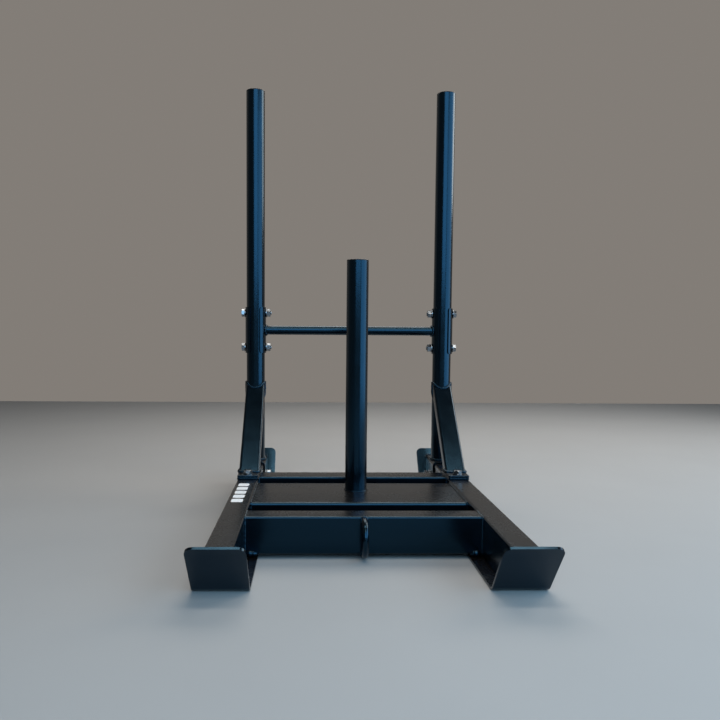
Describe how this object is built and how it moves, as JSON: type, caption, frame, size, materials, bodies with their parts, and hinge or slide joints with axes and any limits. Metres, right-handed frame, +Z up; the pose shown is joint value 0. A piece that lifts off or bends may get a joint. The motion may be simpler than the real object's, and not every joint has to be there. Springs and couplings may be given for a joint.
{
  "type": "weight sled",
  "caption": "Steel push and pull gym sled on twin ski runners, with a weight post on a folded platform, tall push poles with a handle bar, and a tow loop.",
  "frame": {"origin": "on the floor, under the middle of the sled's bounding box", "axes": "+Z up along the poles; +Y from the tow end to the pole end; +X to the right when looking along +Y"},
  "size_m": [0.616, 0.96, 1.091],
  "materials": {
    "powder_coat": "satin black powder coat",
    "zinc_plate": "bright zinc plate",
    "cap_plastic": "matte black plastic"
  },
  "bodies": {
    "root": {"front_cross_tube": "powder_coat", "rear_cross_tube": "powder_coat", "weight_platform": "powder_coat", "weight_post": "powder_coat", "tow_loop": "powder_coat", "handle_bar": "powder_coat", "left_ski": "powder_coat", "left_runner": "powder_coat", "left_pole": "powder_coat", "left_saddle": "powder_coat", "left_brace": "powder_coat", "left_runner_pad": "powder_coat", "left_brace_foot": "powder_coat", "left_clamp": "powder_coat", "right_ski": "powder_coat", "right_runner": "powder_coat", "right_pole": "powder_coat", "right_saddle": "powder_coat", "right_brace": "powder_coat", "right_runner_pad": "powder_coat", "right_brace_foot": "powder_coat", "right_clamp": "powder_coat", "left_upper_clamp_bolt": "zinc_plate", "left_upper_clamp_head_washer": "zinc_plate", "left_upper_clamp_nut_washer": "zinc_plate", "left_upper_clamp_nut": "zinc_plate", "left_lower_clamp_bolt": "zinc_plate", "left_lower_clamp_head_washer": "zinc_plate", "left_lower_clamp_nut_washer": "zinc_plate", "left_lower_clamp_nut": "zinc_plate", "left_saddle_bolt": "zinc_plate", "left_saddle_head_washer": "zinc_plate", "left_saddle_nut_washer": "zinc_plate", "left_saddle_nut": "zinc_plate", "left_foot_bolt": "zinc_plate", "left_foot_bolt_washer": "zinc_plate", "left_foot_weld_nut": "zinc_plate", "right_upper_clamp_bolt": "zinc_plate", "right_upper_clamp_head_washer": "zinc_plate", "right_upper_clamp_nut_washer": "zinc_plate", "right_upper_clamp_nut": "zinc_plate", "right_lower_clamp_bolt": "zinc_plate", "right_lower_clamp_head_washer": "zinc_plate", "right_lower_clamp_nut_washer": "zinc_plate", "right_lower_clamp_nut": "zinc_plate", "right_saddle_bolt": "zinc_plate", "right_saddle_head_washer": "zinc_plate", "right_saddle_nut_washer": "zinc_plate", "right_saddle_nut": "zinc_plate", "right_foot_bolt": "zinc_plate", "right_foot_bolt_washer": "zinc_plate", "right_foot_weld_nut": "zinc_plate", "weight_post_cap": "cap_plastic", "left_pole_cap": "cap_plastic", "right_pole_cap": "cap_plastic"}
  },
  "joints": []
}
